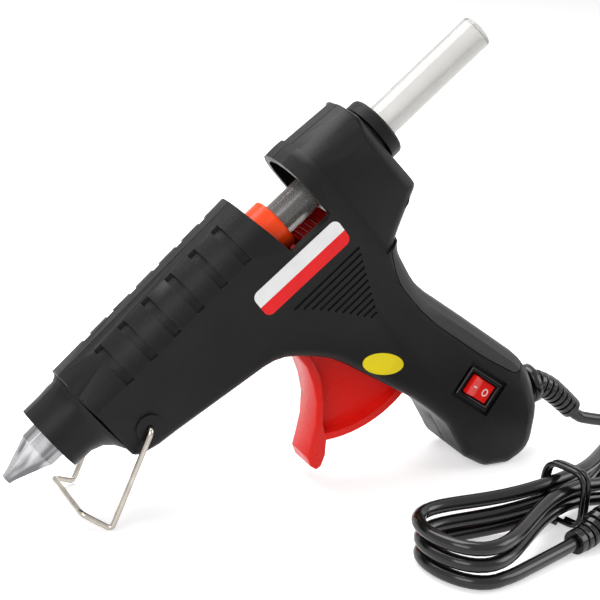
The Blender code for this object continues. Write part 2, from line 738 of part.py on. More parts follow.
def make_trigger():
    px, pz = TRIGGER_PIVOT
    front = [
        (91.4, -37.6), (91.2, -43.4), (89.2, -49.6), (86.0, -55.9), (81.0, -61.8), (76.4, -65.6), (72.0, -69.0),
        (70.9, -72.6), (71.6, -75.2), (73.6, -75.4), (77.0, -73.4),
    ]
    back = [(80.6, -69.4), (83.4, -63.4), (88.6, -57.0), (92.4, -50.6), (94.2, -44.4), (94.6, -38.4)]
    half = TRIGGER_HALF
    trigger = place(plate_mesh([Vector(p) for p in front + back], -half, half), "trigger", RED_PLASTIC)
    bevelled(trigger, 0.5, 2, 50)
    rim = arc(TRIGGER_PIVOT, TRIGGER_RIM_R, 228, 278, 14) + arc(TRIGGER_PIVOT, TRIGGER_RIM_R - 2.4, 278, 228, 14)
    join(trigger, plate_mesh(rim, 0.3 - half, half - 0.3))
    web = arc(TRIGGER_PIVOT, TRIGGER_RIM_R - 1, 229, 277, 14)
    web += [Vector(p) for p in ((106.4, -42), (93.0, -38.2), (91.6, -50), (85, -62))]
    join(trigger, plate_mesh(web, -1.3, 1.3))
    neck = [Vector(p) for p in ((92.4, -38.9), (103, -34.2), (106, -41.4), (93.2, -44.8))]
    join(trigger, plate_mesh(neck, 1 - half, half - 1))
    join(trigger, rod_mesh(TRIGGER_PIVOT, -half, half, 5.0, 20))
    top = DRIVE_Z - pz
    arm = [
        (-4.6, 0), (4.6, 0), (4.0, top + 3.4), (2.0, top + 3.6), (1.9, top - 2.6), (-1.9, top - 2.6),
        (-2.0, top + 3.6), (-4.0, top + 3.4),
    ]
    turn = Matrix.Rotation(-ARM_LEAN, 2)
    join(trigger, plate_mesh([Vector((px, pz)) + turn @ Vector(p) for p in arm], -3.2, 3.2))
    cut(trigger, rod_mesh(TRIGGER_PIVOT, -10, 10, 2.0 + CLEAR))
    cut(trigger, turned_hub_step())
    pivot(smooth(trigger), px, 0, pz)
    smooth(place(rod_mesh(TRIGGER_PIVOT, -12.6, 12.6, 2.0), "trigger_pin", STEEL))
    turns = 2
    pitch = 0.85
    coil = [
        (px + 4.0 * math.cos(t), 3.95 + pitch * t / (2 * math.pi), pz + 4.0 * math.sin(t))
        for t in (2 * math.pi * k / 9 for k in range(9 * turns + 1))
    ]
    leg = [(px + 4.0, coil[-1][1], pz + 9.0), (px + 4.6, coil[-1][1], pz + 15.0)]
    place(tube_mesh(coil + leg, 0.3, 1), "return_spring", STEEL)


def turned_hub_step():
    """The room round the trigger's hub for its spring."""
    ring = place(rod_mesh(TRIGGER_PIVOT, 3.3, 10, 12), "hub_room", cutter=True)
    cut(ring, rod_mesh(TRIGGER_PIVOT, 0, 12, 3.3))
    mesh = ring.data
    bpy.data.objects.remove(ring)
    return mesh


# Stand

def bent(points, radius, steps=4):
    """Straight runs through those points with their inner corners rounded."""
    route = [Vector(points[0])]
    for before, here, after in zip(points, points[1:], points[2:]):
        here = Vector(here)
        one = here + (Vector(before) - here).normalized() * radius
        two = here + (Vector(after) - here).normalized() * radius
        for k in range(steps + 1):
            t = k / steps
            route.append(one * (1 - t) ** 2 + here * 2 * t * (1 - t) + two * t * t)
    return route + [Vector(points[-1])]


def make_stand():
    half = [
        (STAND_PIVOT[0], -11.8, STAND_PIVOT[1]),
        (STAND_PIVOT[0], -STAND_LEG_Y + 0.4, STAND_PIVOT[1]),
        (STAND_FOOT[0] - 0.2, -STAND_LEG_Y + 0.6, STAND_FOOT[1] - 0.4),
        (STAND_TOE[0], -STAND_TOE_Y, STAND_TOE[1]),
    ]
    path = half + [(x, -y, z) for x, y, z in reversed(half)]
    stand = place(tube_mesh(bent(path, 1.6), WIRE_R), "stand_wire", STEEL)
    pivot(smooth(stand, 50), STAND_PIVOT[0], 0, STAND_PIVOT[1])


# Screws, strain relief and the wires inside

def make_screws():
    for k, at in enumerate(SCREWS):
        screw = place(rod_mesh(at, -7.6, 11.6, SCREW_R, 12), f"casing_screw_{k + 1}", STEEL)
        join(screw, rod_mesh(at, 11.2, 13.2, 2.4))


def smooth_route(points, step):
    """Points about that far apart along a smooth curve through the given ones."""
    ends = [Vector(p) for p in points]
    ends = [2 * ends[0] - ends[1]] + ends + [2 * ends[-1] - ends[-2]]
    route = []
    for a, b, c, d in zip(ends, ends[1:], ends[2:], ends[3:]):
        count = max(1, round((c - b).length / step))
        for k in range(count):
            t = k / count
            route.append(
                b + 0.5 * t * (c - a)
                + 0.5 * t ** 2 * (2 * a - 5 * b + 4 * c - d)
                + 0.5 * t ** 3 * (3 * b - a - 3 * c + d)
            )
    return route + [ends[-2]]


def ribbed(points, radius, groove, pitch, start, end):
    """A tube's points and its share of the radius at each, with grooves from start to end."""
    route, shares, travelled = [points[0]], [1.0], 0.0
    length = sum((b - a).length for a, b in zip(points, points[1:]))
    for a, b in zip(points, points[1:]):
        travelled += (b - a).length
        inside = start < travelled < length - end
        ring = round((travelled - start) / pitch)
        route.append(b)
        shares.append(groove / radius if inside and ring % 2 else 1.0)
    return route, shares


def make_strain_relief():
    line = smooth_route([(x, 0, z) for x, z in RELIEF], 1.1)
    route, shares = ribbed(line, RELIEF_R, 3.3, 1.1, 12.5, 5.0)
    relief = place(tube_mesh(route, RELIEF_R, 3, shares), "strain_relief")
    flange = tube_mesh([(149.4, 0, -118.6), (146.6, 0, -117.2)], 7.0, 4)
    join(relief, flange)
    smooth(relief)


def make_wires():
    live = [(137.6, -2.2, -112.6), (135.0, -2.0, -107.0), (130.0, 0.4, -101.6), (127.2, 0.2, -99.4)]
    neutral = [
        (137.2, 2.2, -112.4), (135.0, 7.0, -104.0), (134.6, 9.4, -92.0), (131.6, 11.0, -70.0), (131.4, 11.0, -52.0),
        (129.0, 11.0, -36.0), (120.0, 11.0, -24.6), (104.0, 11.0, -21.0), (98.0, 11.0, -19.4), (92.0, 11.0, -15.6),
        (85.0, 11.0, -15.2), (82.0, 9.0, -13.6), (81.8, 6.0, -11.8), (81.3, 3.2, -11.4),
    ]
    switched = [
        (131.6, 0.2, -84.0), (131.8, -5.0, -78.0), (132.0, -11.0, -66.0), (131.4, -11.0, -52.0), (129.0, -11.0, -36.0),
        (120.0, -11.0, -24.6), (104.0, -11.0, -21.0), (98.0, -11.0, -19.4), (92.0, -11.0, -15.6),
        (85.0, -11.0, -15.2), (82.0, -9.0, -13.6), (81.8, -6.0, -11.8), (81.3, -3.2, -11.4),
    ]
    wires = (("wire_live", live, WIRE_RED), ("wire_neutral", neutral, WIRE_BLUE), ("wire_switched", switched, WIRE_RED))
    for name, route, skin in wires:
        place(tube_mesh(smooth_route(route, 6.0), 0.9, 1), name, skin)


# Cord, in the table's axes

def hank_point(turn):
    """The middle of the hank's cord after that angle, round loops that are drawn in at the tie."""
    angle = HANK_START - turn
    along = HANK_REACH * math.cos(angle)
    across = LOOP_WIDTH * math.sin(angle) * (1 - LOOP_PINCH * math.sin(angle) ** 2)
    rounds, part = divmod(turn - HANK_START, 2 * math.pi)
    climb = min(part / HANK_CLIMB, 1.0) if turn > HANK_START else 0.0
    layer = (rounds if turn > HANK_START else 0) + climb
    lift = TIE_LIFT * math.exp(-((along / 22) ** 2))
    fan = HANK_TURN + math.radians(1.5) * math.cos(turn * 0.7)
    x = HANK_MIDDLE[0] + along * math.cos(fan) - across * math.sin(fan)
    y = HANK_MIDDLE[1] + along * math.sin(fan) + across * math.cos(fan)
    return Vector((x, y, CORD_R + 0.2 + HANK_PITCH * layer + lift))


def least_gap(points, radius, apart):
    """The least distance between stretches of one cord that are over that far apart along it."""
    fine = [a.lerp(b, k / 4) for a, b in zip(points, points[1:]) for k in range(4)]
    along = [0.0]
    for a, b in zip(fine, fine[1:]):
        along.append(along[-1] + (b - a).length)
    return min(
        (fine[i] - fine[j]).length
        for i in range(len(fine))
        for j in range(i)
        if along[i] - along[j] > apart
    ) - 2 * radius


def make_cord():
    total = 2 * math.pi * HANK_LOOPS
    count = round(24 * HANK_LOOPS)
    hank = [hank_point(total * k / count) for k in range(count + 1)]
    print("least gap within the hank, mm:", round(least_gap(hank, CORD_R, 12), 2))
    smooth(place(tube_mesh(hank, CORD_R, 1), "cord_hank", CORD_BLACK, parent=None), 60)

    first = (hank[0] - hank[1]).normalized()
    plug_from = Vector((*PLUG_FROM, CORD_R + 1.6))
    lead = [hank[0] + first * CLEAR, hank[0] + first * 5, plug_from - Vector(PLUG_INTO) * 6, plug_from]
    smooth(place(tube_mesh(smooth_route(lead, 4.0), CORD_R, 2), "plug_lead", CORD_BLACK, parent=None), 60)

    last = (hank[-1] - hank[-2]).normalized()
    root = Vector(on_table(RELIEF[-1][0], 0, RELIEF[-1][1]))
    out = (root - Vector(on_table(RELIEF[-2][0], 0, RELIEF[-2][1]))).normalized()
    floor = CORD_R + 0.2
    route = [
        root + out * CLEAR, root + out * 6, Vector((138, -1, floor + 1)), Vector((152, -3, floor)),
        Vector((174, -8, floor)),
        Vector((186, -22, floor)), Vector((178, -36, floor + 1.5)), Vector((156, -36.5, floor + 5)),
        hank[-1] + last * 12 + Vector((0, 0, 0.2)), hank[-1] + last * 5, hank[-1] + last * CLEAR,
    ]
    smooth(place(tube_mesh(smooth_route(route, 5.0), CORD_R, 2), "cord_lead", CORD_BLACK, parent=None), 60)


def make_tie():
    """A plastic covered wire, twice round the hank's middle."""
    turn = Matrix.Rotation(HANK_TURN, 4, "Z")
    middle = Vector((*HANK_MIDDLE, 0))
    route = []
    for k in range(20 * TIE_TURNS + 1):
        t = 2 * math.pi * (k / 20 - 0.25)
        across = TIE_SIZE[0] * math.copysign(abs(math.cos(t)) ** 0.5, math.cos(t))
        height = TIE_MIDDLE + TIE_SIZE[1] * math.copysign(abs(math.sin(t)) ** 0.5, math.sin(t))
        route.append(middle + turn @ Vector((TIE_PITCH * (k / 20 - TIE_TURNS / 2), across, height)))
    smooth(place(tube_mesh(route, TIE_R, 1), "cord_tie", CORD_BLACK, parent=None), 60)


def make_plug():
    start = Vector((*PLUG_FROM, CORD_R + 1.6))
    end = Vector(PLUG_AT)
    heading = Vector((math.cos(PLUG_TURN), math.sin(PLUG_TURN), 0))
    into = Vector(PLUG_INTO)
    sleeve = [start + into * CLEAR, start + into * 7, end - heading * 7, end - heading * CLEAR]
    line = smooth_route(sleeve, 1.2)
    route, shares = ribbed(line, 4.2, 3.4, 1.2, 2.5, 5.0)
    smooth(place(tube_mesh(route, 4.2, 3, shares), "plug_strain_relief", CORD_BLACK, parent=None))

    long, wide, high = PLUG_SIZE
    outline = [
        (0, 6.5, 2), (long * 0.45, wide / 2, 8), (long, wide / 2, 2.5), (long, -wide / 2, 2.5),
        (long * 0.45, -wide / 2, 8), (0, -6.5, 2),
    ]
    middle = Vector((end.x, end.y, high / 2 + 0.2)) * MM
    to_table = Matrix.Translation(middle) @ Matrix.Rotation(PLUG_TURN, 4, "Z")
    flat = Matrix.Rotation(-math.pi / 2, 4, "X")
    mesh = plate_mesh(rounded(outline), -high / 2, high / 2)
    mesh.transform(to_table @ flat)
    body = place(tidy(mesh), "plug_body", CORD_BLACK, parent=None)
    bevelled(body, 2.0, 2)
    for name, side in (("plug_pin_left", 1), ("plug_pin_right", -1)):
        tip, rear = long + PIN_LENGTH, long - 6
        pin = turned_mesh([(tip, 0), (tip, PIN_R - 0.8), (tip - 0.8, PIN_R), (rear, PIN_R), (rear, 0)], 16, False)
        front, back, bore = long + 5, rear - 0.4, PIN_R + CLEAR
        hole = turned_mesh([(front, 0), (front, bore), (back, bore), (back, 0)], 16, False)
        for mesh in (pin, hole):
            mesh.transform(to_table @ Matrix.Translation((0, side * PIN_SPREAD * MM, 0)))
        cut(body, hole)
        smooth(place(pin, name, BRASS, parent=None))
    smooth(body)


make_casing()
make_pad()
make_switch()
make_heater()
make_feed()
make_trigger()
make_stand()
make_screws()
make_strain_relief()
make_wires()
make_cord()
make_tie()
make_plug()
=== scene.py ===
"""The looks of a hot glue gun that stands on its wire stand, with its cord put up in a hank."""

import json
import math

import bmesh
import bpy
from mathutils import Matrix, Vector


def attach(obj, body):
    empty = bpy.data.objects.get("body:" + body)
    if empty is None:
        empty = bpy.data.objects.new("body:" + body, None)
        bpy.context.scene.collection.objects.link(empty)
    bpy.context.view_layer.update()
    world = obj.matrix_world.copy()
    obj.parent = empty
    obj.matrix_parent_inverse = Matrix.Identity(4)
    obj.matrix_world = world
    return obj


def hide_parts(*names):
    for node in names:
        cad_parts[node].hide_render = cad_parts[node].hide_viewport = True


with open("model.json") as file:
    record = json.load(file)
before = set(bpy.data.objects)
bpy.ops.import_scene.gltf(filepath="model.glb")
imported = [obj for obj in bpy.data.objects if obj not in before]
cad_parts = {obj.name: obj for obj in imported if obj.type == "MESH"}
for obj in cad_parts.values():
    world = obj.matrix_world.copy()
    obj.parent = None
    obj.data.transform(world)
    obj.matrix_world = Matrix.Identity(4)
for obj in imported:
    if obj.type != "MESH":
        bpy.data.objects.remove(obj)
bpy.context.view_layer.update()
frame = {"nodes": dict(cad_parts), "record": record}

# The view. A long lens looks down on the gun's left side from in front of its nozzle, turned a little so
# that the table leans. The sizes here are in metres and degrees.
VIEW_FROM = (-0.2265, -0.4392, 0.2308)
VIEW_AT = (0.0042, 0.0, 0.0620)
VIEW_ROLL = 4.2
FOCAL_LENGTH = 98.64
SENSOR_WIDTH = 36
NEAREST_SEEN = 0.01


def placed(name, data):
    """A new object that holds that mesh, curve, lamp or camera."""
    made = bpy.data.objects.new(name, data)
    bpy.context.collection.objects.link(made)
    return made


camera_data = bpy.data.cameras.new("camera")
camera_data.lens = FOCAL_LENGTH
camera_data.sensor_width = SENSOR_WIDTH
camera_data.clip_start = NEAREST_SEEN
camera = placed("camera", camera_data)
camera.location = VIEW_FROM
sight = (Vector(VIEW_AT) - Vector(VIEW_FROM)).to_track_quat("-Z", "Y").to_matrix()
camera.rotation_euler = (sight @ Matrix.Rotation(math.radians(VIEW_ROLL), 3, "Z")).to_euler()
bpy.context.scene.camera = camera
bpy.context.scene.view_settings.view_transform = "Standard"

# The cord. A round glossy black mains lead, moulded into its strain relief at the foot of the grip. It
# lies on the table, is put up in loops that are drawn in at a tie, and ends in a flat plug.
# Places are in millimetres on the table.
MM = 0.001
CORD_R = 2.2
GUN_TILT = math.radians(41.5)
GUN_ORIGIN = (-91.6, 0.0, 12.9318)
RELIEF = [
    (138.6, -113.4), (143.6, -115.4), (148.6, -117.6), (152.2, -124.6), (153.8, -132.0), (154.8, -139.6),
]
HANK_MIDDLE = (72.7, -59.0)
HANK_TURN = math.radians(17)
HANK_REACH = 59.0
HANK_LOOPS = 2.5
HANK_START = math.radians(217)
HANK_PITCH = 5.0
HANK_CLIMB = math.radians(125)
LOOP_STEPS = 72
LOOP_WIDTH = 35.7
LOOP_PINCH = 0.93
LOOP_FAN = math.radians(1.5)
FAN_RATE = 0.7
TIE_LIFT = 2.4
TIE_REACH = 22
ABOVE_TABLE = 0.2
LEAD = [(138, -1, 1), (152, -3, 0), (174, -8, 0), (186, -22, 0), (178, -36, 1.5), (156, -36.5, 5)]
CORD_STEP = 2.5
PLUG_FROM = Vector((64.0, -77.6, CORD_R + 1.6))
PLUG_INTO = Vector((0.95, 0.29, 0.11))
PLUG_AT = Vector((84.6, -74.4, 7.4))
PLUG_TURN = math.radians(-9)

gun_axes = Matrix.Translation(Vector(GUN_ORIGIN)) @ Matrix.Rotation(-GUN_TILT, 4, "Y")


def hank_point(turn):
    """The middle of the hank's cord, that far round its loops from the plug's end."""
    angle = HANK_START - turn
    along = HANK_REACH * math.cos(angle)
    across = LOOP_WIDTH * math.sin(angle) * (1 - LOOP_PINCH * math.sin(angle) ** 2)
    rounds, part = divmod(turn - HANK_START, 2 * math.pi)
    layer = rounds + min(part / HANK_CLIMB, 1.0) if turn > HANK_START else 0.0
    lift = TIE_LIFT * math.exp(-((along / TIE_REACH) ** 2))
    fan = HANK_TURN + LOOP_FAN * math.cos(turn * FAN_RATE)
    x = HANK_MIDDLE[0] + along * math.cos(fan) - across * math.sin(fan)
    y = HANK_MIDDLE[1] + along * math.sin(fan) + across * math.cos(fan)
    return Vector((x, y, CORD_R + ABOVE_TABLE + HANK_PITCH * layer + lift))


def smooth_route(points, step):
    """Points about that far apart along a smooth curve through the given ones."""
    ends = [Vector(p) for p in points]
    ends = [2 * ends[0] - ends[1]] + ends + [2 * ends[-1] - ends[-2]]
    route = []
    for a, b, c, d in zip(ends, ends[1:], ends[2:], ends[3:]):
        count = max(1, round((c - b).length / step))
        for k in range(count):
            t = k / count
            square, cube = 2 * a - 5 * b + 4 * c - d, 3 * b - a - 3 * c + d
            route.append(0.5 * (2 * b + (c - a) * t + square * t ** 2 + cube * t ** 3))
    return route + [ends[-2]]


def tube(name, points, radius, sides=6, shares=None):
    """A round tube through those points, in millimetres, with filled ends.

    shares, if given, says how much of the radius each point has."""
    curve = bpy.data.curves.new(name, "CURVE")
    curve.dimensions = "3D"
    curve.bevel_depth = 1
    curve.bevel_resolution = sides
    curve.use_fill_caps = True
    spline = curve.splines.new("POLY")
    spline.points.add(len(points) - 1)
    for i, (point, at) in enumerate(zip(spline.points, points)):
        point.co = (*(Vector(at) * MM), 1)
        point.radius = radius * MM * (shares[i] if shares else 1)
    spline.use_smooth = True
    return placed(name, curve)


relief_end, relief_before = (gun_axes @ Vector((x, 0, z)) for x, z in (RELIEF[-1], RELIEF[-2]))
relief_out = (relief_end - relief_before).normalized()
hank_turns = 2 * math.pi * HANK_LOOPS
hank_count = round(LOOP_STEPS * HANK_LOOPS)
hank = [hank_point(hank_turns * k / hank_count) for k in range(hank_count + 1)]
first = (hank[0] - hank[1]).normalized()
last = (hank[-1] - hank[-2]).normalized()
lead = smooth_route(
    [
        relief_end + relief_out * 0.3, relief_end + relief_out * 6,
        *(Vector((x, y, CORD_R + ABOVE_TABLE + rise)) for x, y, rise in LEAD),
        hank[-1] + last * 12 + Vector((0, 0, 0.2)), hank[-1] + last * 5, hank[-1],
    ],
    CORD_STEP,
)
plug_lead = smooth_route([hank[0], hank[0] + first * 5, PLUG_FROM - PLUG_INTO * 6, PLUG_FROM], CORD_STEP)
cord_path = lead + hank[-2:0:-1] + plug_lead
cord = tube("mains_cord", cord_path, CORD_R)
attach(cord, "gun")
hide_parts("cord_lead", "cord_hank", "plug_lead")


def new_material(name):
    """A new material with its nodes, its links and its own shader."""
    made = bpy.data.materials.new(name)
    made.use_nodes = True
    return made, made.node_tree.nodes, made.node_tree.links, made.node_tree.nodes["Principled BSDF"]


def grain_group():
    """Fine moulded grain and broad handling marks. Height is for bump, Marks for roughness and tone."""
    made = bpy.data.node_groups.new("moulded grain", "ShaderNodeTree")
    made.interface.new_socket("Grain", in_out="INPUT", socket_type="NodeSocketFloat")
    made.interface.new_socket("Spread", in_out="INPUT", socket_type="NodeSocketFloat")
    made.interface.new_socket("Height", in_out="OUTPUT", socket_type="NodeSocketFloat")
    made.interface.new_socket("Marks", in_out="OUTPUT", socket_type="NodeSocketFloat")
    nodes, links = made.nodes, made.links
    inside = nodes.new("NodeGroupInput")
    outside = nodes.new("NodeGroupOutput")
    place = nodes.new("ShaderNodeTexCoord")
    fine = nodes.new("ShaderNodeTexNoise")
    fine.inputs["Detail"].default_value = 3
    fine.inputs["Roughness"].default_value = 0.6
    broad = nodes.new("ShaderNodeTexNoise")
    broad.inputs["Detail"].default_value = 4
    spread = nodes.new("ShaderNodeMapRange")
    spread.inputs["From Min"].default_value = 0.35
    spread.inputs["From Max"].default_value = 0.68
    for texture, scale in ((fine, "Grain"), (broad, "Spread")):
        links.new(place.outputs["Object"], texture.inputs["Vector"])
        links.new(inside.outputs[scale], texture.inputs["Scale"])
    links.new(fine.outputs["Fac"], outside.inputs["Height"])
    links.new(broad.outputs["Fac"], spread.inputs["Value"])
    links.new(spread.outputs["Result"], outside.inputs["Marks"])
    return made


# The reach and the range of the mask that lightens the colour along edges, a painted highlight.
HIGHLIGHT_REACH = 0.0005
HIGHLIGHT_FROM = 0.995
HIGHLIGHT_FULL = 0.90


def edge_highlight_group():
    """How near a surface is to an edge, from 0 to 1: the mask of a painted highlight along the edges."""
    made = bpy.data.node_groups.new("painted edge highlight", "ShaderNodeTree")
    made.interface.new_socket("Mask", in_out="OUTPUT", socket_type="NodeSocketFloat")
    nodes, links = made.nodes, made.links
    outside = nodes.new("NodeGroupOutput")
    rounded = nodes.new("ShaderNodeBevel")
    rounded.samples = 6
    rounded.inputs["Radius"].default_value = HIGHLIGHT_REACH
    facing = nodes.new("ShaderNodeNewGeometry")
    dot = nodes.new("ShaderNodeVectorMath")
    dot.operation = "DOT_PRODUCT"
    reach = nodes.new("ShaderNodeMapRange")
    reach.inputs["From Min"].default_value = HIGHLIGHT_FROM
    reach.inputs["From Max"].default_value = HIGHLIGHT_FULL
    links.new(rounded.outputs["Normal"], dot.inputs[0])
    links.new(facing.outputs["Normal"], dot.inputs[1])
    links.new(dot.outputs["Value"], reach.inputs["Value"])
    links.new(reach.outputs["Result"], outside.inputs["Mask"])
    return made


GRAIN = grain_group()
EDGE_HIGHLIGHT_GROUP = edge_highlight_group()
MOULD_SPREAD = 38.0
HANDLED = 0.35
RUBBED_GLOSS = 0.78
GRAIN_DEPTH = 0.0002


def grained(nodes, grain, spread):
    """The moulded grain group, with the scales of its fine grain and of its broad marks."""
    group = nodes.new("ShaderNodeGroup")
    group.node_tree = GRAIN
    group.inputs["Grain"].default_value = grain
    group.inputs["Spread"].default_value = spread
    return group


def mixed(nodes, links, factor, colour, other):
    """A colour that goes from the first to the other with the factor."""
    mix = nodes.new("ShaderNodeMix")
    mix.data_type = "RGBA"
    mix.inputs["A"].default_value = (*colour, 1)
    mix.inputs["B"].default_value = (*other, 1)
    links.new(factor, mix.inputs["Factor"])
    return mix.outputs["Result"]


def moulded(name, colour, light, rough, grain, depth, edge=0.0, shine=0.25):
    """A moulded plastic or rubber, whose colour goes to light where it is handled, and along its edges, where
    edge sets the strength of a painted highlight.
    """
    made, nodes, links, shader = new_material(name)
    group = grained(nodes, grain, MOULD_SPREAD)
    amount = nodes.new("ShaderNodeMath")
    amount.operation = "MULTIPLY"
    amount.inputs[1].default_value = HANDLED
    links.new(group.outputs["Marks"], amount.inputs[0])
    mask = amount.outputs["Value"]
    # Along the edges the colour goes to light by the edge mask: a painted highlight.
    if edge:
        highlight_node = nodes.new("ShaderNodeGroup")
        highlight_node.node_tree = EDGE_HIGHLIGHT_GROUP
        highlighted = nodes.new("ShaderNodeMath")
        highlighted.operation = "MULTIPLY_ADD"
        highlighted.inputs[1].default_value = edge
        highlighted.use_clamp = True
        links.new(highlight_node.outputs["Mask"], highlighted.inputs[0])
        links.new(mask, highlighted.inputs[2])
        mask = highlighted.outputs["Value"]
    links.new(mixed(nodes, links, mask, colour, light), shader.inputs["Base Color"])
    gloss = nodes.new("ShaderNodeMapRange")
    gloss.inputs["To Min"].default_value = rough
    gloss.inputs["To Max"].default_value = rough * RUBBED_GLOSS
    links.new(group.outputs["Marks"], gloss.inputs["Value"])
    links.new(gloss.outputs["Result"], shader.inputs["Roughness"])
    bump = nodes.new("ShaderNodeBump")
    bump.inputs["Strength"].default_value = depth
    bump.inputs["Distance"].default_value = GRAIN_DEPTH
    links.new(group.outputs["Height"], bump.inputs["Height"])
    links.new(bump.outputs["Normal"], shader.inputs["Normal"])
    shader.inputs["Specular IOR Level"].default_value = shine
    return made


CORD_BLACK = moulded(
    "glossy_cord_black", (0.004, 0.004, 0.004), (0.01, 0.01, 0.01), 0.2, 900.0, 0.06, shine=0.4
)
cord.data.materials.append(CORD_BLACK)

# The hank's tie. A plastic covered wire of 1.8 mm that holds the loops together. It is wound twice round
# their middle, and stands a little off them.
TIE_R = 0.9
TIE_TURNS = 2
TIE_PITCH = 2.4
TIE_SIZE = (7.5, 9.4)
TIE_MIDDLE = 10.6
TIE_STEPS = 48
TIE_SQUARE = 0.5
tie_turn = Matrix.Rotation(HANK_TURN, 4, "Z")
tie_middle = Vector((*HANK_MIDDLE, 0))
tie_path = []
for k in range(TIE_STEPS * TIE_TURNS + 1):
    t = 2 * math.pi * (k / TIE_STEPS - 0.25)
    along = TIE_PITCH * (k / TIE_STEPS - TIE_TURNS / 2)
    across = TIE_SIZE[0] * math.copysign(abs(math.cos(t)) ** TIE_SQUARE, math.cos(t))
    height = TIE_MIDDLE + TIE_SIZE[1] * math.copysign(abs(math.sin(t)) ** TIE_SQUARE, math.sin(t))
    tie_path.append(tie_middle + tie_turn @ Vector((along, across, height)))
tie = tube("hank_tie", tie_path, TIE_R, 4)
tie.data.materials.append(CORD_BLACK)
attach(tie, "gun")
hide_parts("cord_tie")

# The strain reliefs. Soft black sleeves with grooves round them, moulded onto the cord: one stands out of
# the grip's foot on a round flange, the other goes into the plug.
RING_PITCH = 2.7
GROOVE_WIDTH = 1.0
GROOVE_DEPTH = 1.25
GROOVE_FLANK = 0.25
FIRST_EDGE = 0.93
LAST_EDGE = 0.9
SLEEVE_STEP = 0.12
GRIP_SLEEVE = (5.0, 4.0, 12.0, 2.0)
PLUG_SLEEVE = (3.9, 5.0, 2.4, 2.4)
FLANGE_R = 7.0
FLANGE = [(149.4, -118.6), (149.2, -118.5), (146.8, -117.3), (146.6, -117.2)]
FLANGE_EDGE = 0.94


def ringed(points, base_radius, end_radius, start, end):
    """The radius at each point of a tapered sleeve. Its square grooves begin that far from its start and
    stop that far from its end."""
    along = [0.0]
    for a, b in zip(points, points[1:]):
        along.append(along[-1] + (b - a).length)
    radii = []
    for s in along:
        radius = base_radius + (end_radius - base_radius) * s / along[-1]
        inside = (s - start) % RING_PITCH if start < s < along[-1] - end else -1.0
        edge = min(inside, GROOVE_WIDTH - inside) / GROOVE_FLANK
        radii.append(radius - GROOVE_DEPTH * min(1.0, max(0.0, edge)))
    radii[0] *= FIRST_EDGE
    radii[-1] *= LAST_EDGE
    return radii


relief_line = smooth_route([gun_axes @ Vector((x, 0, z)) for x, z in RELIEF], SLEEVE_STEP)
grip_relief = tube("grip_strain_relief", relief_line, 1.0, 10, ringed(relief_line, *GRIP_SLEEVE))
heading = Vector((math.cos(PLUG_TURN), math.sin(PLUG_TURN), 0))
plug_line = smooth_route(
    [PLUG_FROM + PLUG_INTO * 0.3, PLUG_FROM + PLUG_INTO * 7, PLUG_AT - heading * 7, PLUG_AT - heading * 0.3],
    SLEEVE_STEP,
)
plug_relief = tube("plug_sleeve", plug_line, 1.0, 10, ringed(plug_line, *PLUG_SLEEVE))
flange_line = [gun_axes @ Vector((x, 0, z)) for x, z in FLANGE]
flange = tube("strain_relief_flange", flange_line, FLANGE_R, 8, [FLANGE_EDGE, 1, 1, FLANGE_EDGE])
for piece, node in ((grip_relief, "strain_relief"), (plug_relief, "plug_strain_relief"), (flange, None)):
    piece.data.materials.append(CORD_BLACK)
    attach(piece, "gun")
    if node:
        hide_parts(node)

# The plug. A flat black body with a waist for the fingers, moulded onto the cord's end round two pins of
# plated brass.
NODE_BODY = {node: body for body, nodes in frame["record"]["behaviour"]["bodies"].items() for node in nodes}
NODE_SLOT = {part["node"]: part["material_slot"] for part in frame["record"]["subparts"]}
MERGED = 1e-6
FLAT_ENOUGH = 0.3
to_gun = gun_axes.inverted()


def from_bmesh(name, bm):
    """A new object with that bmesh as its mesh."""
    mesh = bpy.data.meshes.new(name)
    bm.to_mesh(mesh)
    bm.free()
    return placed(name, mesh)


def soft_edges(piece, round_mm, segments, angle):
    """Shades a piece smooth between its edges, and rounds those that are sharper than the angle."""
    piece.data.shade_smooth()
    piece.data.set_sharp_from_angle(angle=math.radians(angle))
    if round_mm:
        soften = piece.modifiers.new("Rounded edges", "BEVEL")
        soften.width = round_mm * MM
        soften.segments = segments
        soften.limit_method = "ANGLE"
        soften.angle_limit = math.radians(angle)
        soften.harden_normals = True


def finished(node, name, material, round_mm=0.0, segments=2, angle=30, shape=None):
    """A copy of a node's mesh with its triangles merged and its edges rounded, in the node's place.

    shape, if given, moves each point, in the gun's axes and millimetres."""
    bm = bmesh.new()
    bm.from_mesh(frame["nodes"][node].data)
    bmesh.ops.remove_doubles(bm, verts=bm.verts, dist=MERGED)
    if shape:
        for vert in bm.verts:
            vert.co = (gun_axes @ shape(to_gun @ (vert.co / MM))) * MM
    bmesh.ops.dissolve_limit(bm, angle_limit=math.radians(FLAT_ENOUGH), verts=bm.verts, edges=bm.edges)
    made = from_bmesh(name, bm)
    made.data.materials.append(material)
    soft_edges(made, round_mm, segments, angle)
    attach(made, NODE_BODY[node])
    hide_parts(node)
    return made


def plated(name, light, dark, blotch, rough):
    """A plated metal whose colour drifts between light and dark in soft blotches of that scale."""
    made, nodes, links, shader = new_material(name)
    place = nodes.new("ShaderNodeTexCoord")
    wash = nodes.new("ShaderNodeTexNoise")
    wash.inputs["Scale"].default_value = blotch
    links.new(place.outputs["Object"], wash.inputs["Vector"])
    links.new(mixed(nodes, links, wash.outputs["Fac"], light, dark), shader.inputs["Base Color"])
    shader.inputs["Metallic"].default_value = 1
    shader.inputs["Roughness"].default_value = rough
    return made


plug = finished("plug_body", "plug_moulding", CORD_BLACK, 0.3)
brass = plated("plated_pins", (0.74, 0.68, 0.52), (0.55, 0.48, 0.34), 240, 0.25)
pins = [finished(f"plug_pin_{side}", f"plug_contact_{side}", brass, 0.1) for side in ("left", "right")]
